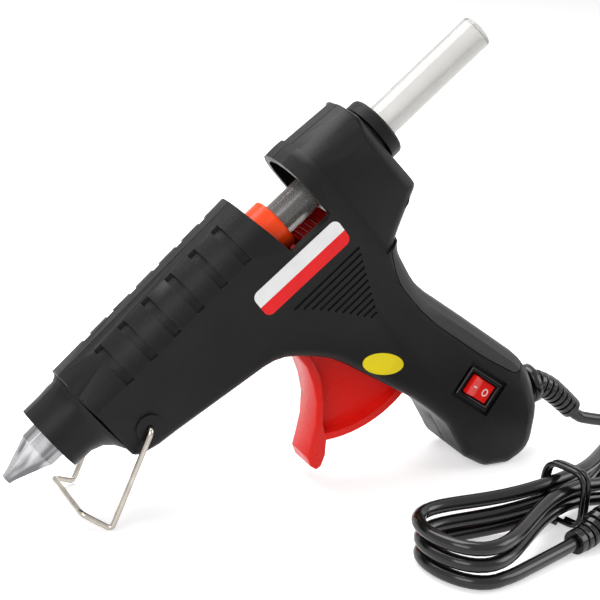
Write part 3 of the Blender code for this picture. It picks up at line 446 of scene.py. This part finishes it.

# The housing. Two halves of black ABS, moulded with a fine grain, which screws hold together along the
# middle, with a ring behind them that guides the stick and a soft pad over the grip's back. A painted
# highlight makes the long edges lighter.
# edge=1.0 paints a highlight along the housing's edges.
ABS_BLACK = moulded(
    "grained_black_abs", (0.006, 0.006, 0.006), (0.014, 0.014, 0.014), 0.42, 2200.0, 0.5, edge=1.0, shine=0.15
)
TOP_LINE = [(32.4, 13.6), (106.8, 16.6), (130.0, 17.4), (153.4, 16.0)]
HALF_WIDTH = 15.5
SHOULDERS = (10.0, 14.0)
SKIN_FROM = 0.6
SKIN_SPAN = 0.25
TOP_LEAD = 2
RAISED = (34, 134)
DRAWN_IN = [
    (Vector((107.0, 0, -102.6)), Vector((4.6, 0, -6.2)), 9.0),
    (Vector((33.0, 0, -20.6)), Vector((0.4, 0, 2.6)), 6.0),
]
GUIDE_BORE = 7
GUIDE_SHARE = 0.72
GUIDE_FORWARD = 1.3


def section_reach(angle, shoulder):
    """How far the housing's upper section reaches at that angle, from half its width under its top."""
    c, s = abs(math.cos(angle)), math.sin(angle)
    inner = HALF_WIDTH - shoulder
    middle = inner * (c + s)
    if max(c, s) * inner < min(c, s) * HALF_WIDTH:
        return middle + math.sqrt(middle ** 2 - 2 * inner ** 2 + shoulder ** 2)
    return HALF_WIDTH / max(c, s)


def height_over_middle(at):
    """How high a point lies over the middle of the housing's upper section. Before the barrel it is 0."""
    if at.x <= TOP_LINE[0][0] - TOP_LEAD:
        return 0.0
    for (x0, z0), (x1, z1) in zip(TOP_LINE, TOP_LINE[1:]):
        if at.x <= x1:
            break
    return at.z - (z0 + (z1 - z0) * (at.x - x0) / (x1 - x0) - HALF_WIDTH)


def rounder(at):
    """Rounds the housing's shoulders, and draws in the grip's foot and the barrel's chin.

    For both, DRAWN_IN holds the middle, the move and the reach."""
    moved = at.copy()
    for centre, move, reach in DRAWN_IN:
        moved += move * math.exp(-(((at.x - centre.x) ** 2 + (at.z - centre.z) ** 2) / reach ** 2))
    height = height_over_middle(at)
    if height > 0:
        angle = math.atan2(height, at.y)
        radius = math.hypot(at.y, height)
        wide, rounded = (section_reach(angle, shoulder) for shoulder in SHOULDERS)
        share = min(1.0, max(0.0, (radius - SKIN_FROM * wide) / (SKIN_SPAN * wide)))
        scale = 1 + share * (rounded / wide - 1)
        if radius > wide and not RAISED[0] < at.x < RAISED[1]:
            scale = rounded / radius
        moved.y *= scale
        moved.z += height * (scale - 1)
    return moved


def narrower(at):
    """Draws the guide ring's rim in towards its bore, and the ring towards the housing."""
    radius = math.hypot(at.y, at.z)
    scale = (GUIDE_BORE + (radius - GUIDE_BORE) * GUIDE_SHARE) / radius if radius > GUIDE_BORE else 1.0
    return Vector((at.x - GUIDE_FORWARD, at.y * scale, at.z * scale))


for side in ("left", "right"):
    finished(f"casing_{side}", f"housing_{side}", ABS_BLACK, 0.35, 2, 35, shape=rounder)
finished("rear_guide_ring", "stick_guide", ABS_BLACK, 0.25, shape=narrower)
# edge=0.4 paints a highlight along the pad's edges.
SOFT_BLACK = moulded(
    "soft_grip_black", (0.02, 0.02, 0.0205), (0.035, 0.035, 0.036), 0.5, 1800.0, 0.4, edge=0.4
)
finished("grip_strap", "grip_pad", SOFT_BLACK, 0.4, 3, 35)

# The rating label and the test sticker, both left bare: a rounded label, white above and red below, under
# the window, and a yellow oval on the grip. They are thin vinyl, stuck on the left side.
LABEL_CENTRE = (108.9, -9.1)
LABEL_SIZE = (35.4, 9.6)
LABEL_TURN = math.radians(0.9)
STICKER_CENTRE = (109.6, -56.3)
STICKER_SIZE = (15.4, 7.4)
STICKER_TURN = math.radians(52)
LABEL_CORNER = 2.4
LABEL_SPLIT = -0.3
VINYL_THICK = 0.12
GLUE_THICK = 0.02
VINYL_SHADE = 0.9


def vinyl(name, colour):
    """Printed vinyl, a little darker in broad marks."""
    made, nodes, links, shader = new_material(name)
    group = grained(nodes, 1500.0, 90.0)
    darker = [c * VINYL_SHADE for c in colour]
    links.new(mixed(nodes, links, group.outputs["Marks"], colour, darker), shader.inputs["Base Color"])
    shader.inputs["Roughness"].default_value = 0.35
    shader.inputs["Specular IOR Level"].default_value = 0.2
    return made


def on_side(bm, name, centre, turn):
    """Gives a flat shape its thickness, and sticks it on the gun's left side at that x and z."""
    bmesh.ops.solidify(bm, geom=bm.faces[:], thickness=VINYL_THICK)
    bmesh.ops.rotate(bm, matrix=Matrix.Rotation(math.pi / 2, 3, "X"), verts=bm.verts)
    middle = Matrix.Translation((centre[0], -HALF_WIDTH - (VINYL_THICK + GLUE_THICK), centre[1]))
    place = gun_axes @ middle @ Matrix.Rotation(turn, 4, "Y")
    bmesh.ops.transform(bm, matrix=Matrix.Scale(MM, 4) @ place, verts=bm.verts)
    bmesh.ops.recalc_face_normals(bm, faces=bm.faces)
    return from_bmesh(name, bm)


bm = bmesh.new()
bmesh.ops.create_grid(bm, x_segments=1, y_segments=1, size=0.5)
bmesh.ops.scale(bm, vec=(*LABEL_SIZE, 1), verts=bm.verts)
bmesh.ops.bevel(
    bm, geom=bm.verts[:], offset=LABEL_CORNER, offset_type="OFFSET", segments=8, profile=0.5,
    affect="VERTICES", material=-1,
)
bmesh.ops.bisect_plane(
    bm, geom=bm.verts[:] + bm.edges[:] + bm.faces[:], plane_co=(0, LABEL_SPLIT, 0), plane_no=(0, 1, 0)
)
for face in bm.faces:
    face.material_index = 1 if face.calc_center_median().y < LABEL_SPLIT else 0
label = on_side(bm, "rating_label", LABEL_CENTRE, LABEL_TURN)
label.data.materials.append(vinyl("label_white", (0.86, 0.86, 0.86)))
label.data.materials.append(vinyl("label_red", (0.82, 0.012, 0.014)))

bm = bmesh.new()
bmesh.ops.create_circle(bm, cap_ends=True, segments=48, radius=0.5)
bmesh.ops.scale(bm, vec=(*STICKER_SIZE, 1), verts=bm.verts)
sticker = on_side(bm, "oval_sticker", STICKER_CENTRE, STICKER_TURN)
sticker.data.materials.append(vinyl("sticker_yellow", (0.87, 0.7, 0.01)))
for piece, slot in ((label, "red_plastic"), (sticker, "orange_rubber")):
    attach(piece, "gun")

# The trigger. One red moulding: a curved finger rest, an arc behind it that runs into the grip, and a thin
# wall between them.
TRIGGER_RED = moulded("trigger_red", (0.86, 0.012, 0.008), (0.95, 0.03, 0.015), 0.32, 700.0, 0.05)
finished("trigger", "finger_trigger", TRIGGER_RED, 0.3, 2, 35)

# The feed. A dark red ridged carriage slides under the stick, and an orange silicone sleeve holds the
# stick on the hot chamber.
CARRIAGE_RED = moulded("carriage_red", (0.35, 0.006, 0.004), (0.5, 0.01, 0.008), 0.3, 900.0, 0.1)
finished("feed_carriage", "ridged_carriage", CARRIAGE_RED, 0.15)
SILICONE = moulded("orange_silicone", (0.98, 0.055, 0.003), (1.0, 0.1, 0.01), 0.3, 600.0, 0.1)
finished("inlet_sleeve", "silicone_sleeve", SILICONE, 0.3)

# The glue stick. An extruded rod of clear hot melt, a little milky. It is pushed in from behind, through
# the guide ring and over the carriage, into the sleeve.
hot_melt, nodes, links, shader = new_material("clear_hot_melt")
group = grained(nodes, 420.0, 60.0)
milk = mixed(nodes, links, group.outputs["Marks"], (0.58, 0.57, 0.55), (0.50, 0.49, 0.475))
links.new(milk, shader.inputs["Base Color"])
shader.inputs["Roughness"].default_value = 0.22
shader.inputs["IOR"].default_value = 1.48
shader.inputs["Transmission Weight"].default_value = 0.82
finished("glue_stick", "clear_stick", hot_melt, 0.3, 3)

# The nozzle and the melting chamber. Turned aluminium, bright from the tool. The nozzle has six flats and
# a fine bore, and screws into the chamber's front.
NOZZLE_ROUND = 0.15
FLATS = 6
PROFILE = [
    (26.0, 2.4), (26.0, 4.2), (17.9, 4.2), (17.9, 6.4), (12.9, 6.3), (12.1, 5.8), (2.0, 2.1), (0.0, 1.7),
    (0.0, 0.9), (8.0, 0.9), (12.0, 2.4),
]


def drawn_noise(nodes, links, stretch, scale, detail):
    """Noise in the gun's axes, stretched that many times along each."""
    place = nodes.new("ShaderNodeTexCoord")
    drawn = nodes.new("ShaderNodeMapping")
    drawn.vector_type = "TEXTURE"
    drawn.inputs["Rotation"].default_value = (0, -GUN_TILT, 0)
    drawn.inputs["Scale"].default_value = stretch
    noise = nodes.new("ShaderNodeTexNoise")
    noise.inputs["Scale"].default_value = scale
    noise.inputs["Detail"].default_value = detail
    links.new(place.outputs["Object"], drawn.inputs["Vector"])
    links.new(drawn.outputs["Vector"], noise.inputs["Vector"])
    return noise.outputs["Fac"]


aluminium, nodes, links, shader = new_material("turned_aluminium")
rub = nodes.new("ShaderNodeMapRange")
rub.inputs["To Min"].default_value = 0.16
rub.inputs["To Max"].default_value = 0.34
links.new(drawn_noise(nodes, links, (1, 20, 20), 5200, 2), rub.inputs["Value"])
links.new(rub.outputs["Result"], shader.inputs["Roughness"])
bright = nodes.new("ShaderNodeMapRange")
bright.inputs["From Min"].default_value = 0.38
bright.inputs["From Max"].default_value = 0.62
links.new(drawn_noise(nodes, links, (12, 1, 1), 330, 1), bright.inputs["Value"])
metal = mixed(nodes, links, bright.outputs["Result"], (0.13, 0.13, 0.14), (0.46, 0.46, 0.47))
links.new(metal, shader.inputs["Base Color"])
shader.inputs["Metallic"].default_value = 1
bm = bmesh.new()
outline = [bm.verts.new((x, r, 0)) for x, r in PROFILE]
sides = [bm.edges.new(pair) for pair in zip(outline, outline[1:] + outline[:1])]
bmesh.ops.spin(bm, geom=outline + sides, axis=(1, 0, 0), steps=FLATS, angle=2 * math.pi, use_merge=True)
bmesh.ops.transform(bm, matrix=Matrix.Scale(MM, 4) @ gun_axes, verts=bm.verts)
bmesh.ops.recalc_face_normals(bm, faces=bm.faces)
nozzle = from_bmesh("faceted_nozzle", bm)
nozzle.data.materials.append(aluminium)
soft_edges(nozzle, NOZZLE_ROUND, 2, 20)
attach(nozzle, NODE_BODY["nozzle"])
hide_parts("nozzle")
finished("melt_chamber", "chamber", aluminium)

# The wire stand. Nickel plated spring wire of 1.8 mm, bent to two legs, two feet and a toe between them,
# with its ends sprung into the housing.
STAND = [(41.9, -11.8, -12.2), (41.9, -18.05, -12.2), (12.5, -17.9, -27.7), (9.3, -13.4, -19.1)]
BEND = 1.9
BEND_STEPS = 12
WIRE_R = 0.9
corners = [Vector(p) for p in STAND] + [Vector((x, -y, z)) for x, y, z in reversed(STAND)]
wire_path = [corners[0]]
for before, here, after in zip(corners, corners[1:], corners[2:]):
    one = here + (before - here).normalized() * BEND
    two = here + (after - here).normalized() * BEND
    for k in range(BEND_STEPS + 1):
        t = k / BEND_STEPS
        wire_path.append(one * (1 - t) ** 2 + here * 2 * t * (1 - t) + two * t * t)
wire_path.append(corners[-1])
stand = tube("nickel_stand", [gun_axes @ p for p in wire_path], WIRE_R, 8)
nickel = plated("nickel_plate", (0.60, 0.56, 0.50), (0.24, 0.21, 0.18), 160, 0.2)
stand.data.materials.append(nickel)
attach(stand, "stand")
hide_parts("stand_wire")

# The switch. A red rocker in a satin black bezel that snaps into the grip's left side. White marks, a line
# at its upper end and a ring at its lower, are printed on the rocker.
SWITCH_AT = (129.4, -91.6)
SWITCH_TILT = math.radians(-74.6)
ROCKER_PIVOT = 13.0
ROCKER_REST = math.radians(12)
FACE_SLOPE = math.radians(12)
ROCKER_FACE = 14.7
MARK_AT = 2.9
MARK_LIFT = 0.04
MARK_THICK = 0.08
LINE_SIZE = (2.4, 0.5)
RING_R = 0.78
RING_TALL = 1.25
RING_GROWTH = (1.5, 1, 1.4)
# edge=0.8 paints a highlight along the bezel's edges.
SATIN_BLACK = moulded("switch_black", (0.005, 0.005, 0.005), (0.012, 0.012, 0.012), 0.3, 900.0, 0.1, edge=0.8)
finished("switch_body", "switch_bezel", SATIN_BLACK, 0.15)
ROCKER_RED = moulded("rocker_red", (0.9, 0.012, 0.01), (1.0, 0.03, 0.02), 0.25, 700.0, 0.03)
finished("switch_rocker", "red_rocker", ROCKER_RED, 0.2)
to_rocker = (
    gun_axes
    @ Matrix.Translation((SWITCH_AT[0], 0, SWITCH_AT[1]))
    @ Matrix.Rotation(-SWITCH_TILT, 4, "Y")
    @ Matrix.Translation((0, -ROCKER_PIVOT, 0))
    @ Matrix.Rotation(ROCKER_REST, 4, "Z")
    @ Matrix.Translation((0, ROCKER_PIVOT, 0))
)
mark_white = vinyl("mark_white", (0.9, 0.9, 0.9))


def rocker_mark(bm, name, side):
    """Puts a flat mark, drawn in x and z at y = 0, on the rocker's face at that end."""
    rise = MARK_AT * math.tan(FACE_SLOPE)
    place = (
        to_rocker
        @ Matrix.Translation((side * MARK_AT, -ROCKER_FACE - rise - MARK_LIFT, 0))
        @ Matrix.Rotation(-side * FACE_SLOPE, 4, "Z")
    )
    bmesh.ops.transform(bm, matrix=Matrix.Scale(MM, 4) @ place, verts=bm.verts)
    bmesh.ops.recalc_face_normals(bm, faces=bm.faces)
    made = from_bmesh(name, bm)
    made.data.materials.append(mark_white)
    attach(made, "rocker")


bm = bmesh.new()
bmesh.ops.create_cube(bm, size=1)
bmesh.ops.scale(bm, vec=(LINE_SIZE[0], MARK_THICK, LINE_SIZE[1]), verts=bm.verts)
rocker_mark(bm, "line_mark", -1)
bm = bmesh.new()
bmesh.ops.create_circle(bm, cap_ends=False, segments=40, radius=RING_R)
ring_edges = bm.edges[:]
bmesh.ops.rotate(bm, matrix=Matrix.Rotation(math.pi / 2, 3, "X"), verts=bm.verts)
bmesh.ops.scale(bm, vec=(1, 1, RING_TALL), verts=bm.verts)
grown = bmesh.ops.extrude_edge_only(bm, edges=ring_edges)
outer_verts = [v for v in grown["geom"] if isinstance(v, bmesh.types.BMVert)]
bmesh.ops.scale(bm, vec=RING_GROWTH, verts=outer_verts)
bmesh.ops.solidify(bm, geom=bm.faces[:], thickness=MARK_THICK)
rocker_mark(bm, "ring_mark", 1)

# The inner pieces. A ceramic heater and ring, plated steel screws, pins, clip and springs, and insulated
# wires. Apart from the screws' heads they are seen only through the window.
ceramic = moulded("dry_ceramic", (0.7, 0.67, 0.6), (0.6, 0.57, 0.5), 0.7, 1500.0, 0.4)
wire_red = moulded("wire_red", (0.5, 0.01, 0.01), (0.6, 0.02, 0.02), 0.35, 900.0, 0.05)
wire_blue = moulded("wire_blue", (0.02, 0.06, 0.4), (0.03, 0.08, 0.5), 0.35, 900.0, 0.05)
SLOT_MATERIAL = {"ceramic": ceramic, "steel": nickel, "wire_red": wire_red, "wire_blue": wire_blue}
for node, piece in frame["nodes"].items():
    if NODE_SLOT[node] in SLOT_MATERIAL:
        piece.data.materials.clear()
        piece.data.materials.append(SLOT_MATERIAL[NODE_SLOT[node]])

# The studio. A white table and backdrop, as white in the metal and the clear stick as to the camera, and
# three broad soft lamps above and beside the gun.
FLOOR_HALF = 3.0
TABLE_Z = -0.0004
TABLE_GLOW = 0.5
ROOM_LIGHT = 0.3


def seen_plainly(nodes, links):
    """1 for the rays that show the backdrop itself: from the camera, off gloss and through clear pieces."""
    rays = nodes.new("ShaderNodeLightPath")
    shown = rays.outputs["Is Camera Ray"]
    for kind in ("Is Transmission Ray", "Is Glossy Ray"):
        either = nodes.new("ShaderNodeMath")
        either.operation = "MAXIMUM"
        links.new(shown, either.inputs[0])
        links.new(rays.outputs[kind], either.inputs[1])
        shown = either.outputs["Value"]
    return shown


bm = bmesh.new()
bmesh.ops.create_grid(bm, x_segments=1, y_segments=1, size=FLOOR_HALF)
table_top = from_bmesh("table_top", bm)
table_top.location.z = TABLE_Z
table_white, nodes, links, shader = new_material("table_white")
shader.inputs["Base Color"].default_value = (0.86, 0.86, 0.86, 1)
shader.inputs["Roughness"].default_value = 0.9
shader.inputs["Specular IOR Level"].default_value = 0.1
lit = nodes.new("ShaderNodeMath")
lit.operation = "MULTIPLY"
lit.inputs[1].default_value = TABLE_GLOW
links.new(seen_plainly(nodes, links), lit.inputs[0])
glow = nodes.new("ShaderNodeEmission")
both = nodes.new("ShaderNodeAddShader")
links.new(lit.outputs["Value"], glow.inputs["Strength"])
links.new(shader.outputs["BSDF"], both.inputs[0])
links.new(glow.outputs["Emission"], both.inputs[1])
links.new(both.outputs["Shader"], nodes["Material Output"].inputs["Surface"])
table_top.data.materials.append(table_white)

world = bpy.data.worlds.new("studio")
bpy.context.scene.world = world
world.use_nodes = True
nodes, links = world.node_tree.nodes, world.node_tree.links
background = nodes["Background"]
background.inputs["Color"].default_value = (1, 1, 1, 1)
strength = nodes.new("ShaderNodeMapRange")
strength.inputs["To Min"].default_value = ROOM_LIGHT
strength.inputs["To Max"].default_value = 1.0
links.new(seen_plainly(nodes, links), strength.inputs["Value"])
links.new(strength.outputs["Result"], background.inputs["Strength"])

LAMPS = [
    ("top_lamp", (-0.10, 0.30, 0.85), 0.7, 9.0),
    ("front_lamp", (-0.75, -0.55, 0.60), 0.6, 5.0),
    ("side_lamp", (0.80, -0.35, 0.45), 0.5, 3.0),
]
for name, at, size, power in LAMPS:
    lamp_data = bpy.data.lights.new(name, "AREA")
    lamp_data.size = size
    lamp_data.energy = power
    lamp = placed(name, lamp_data)
    lamp.location = at
    lamp.rotation_euler = (Vector(VIEW_AT) - Vector(at)).to_track_quat("-Z", "Y").to_euler()
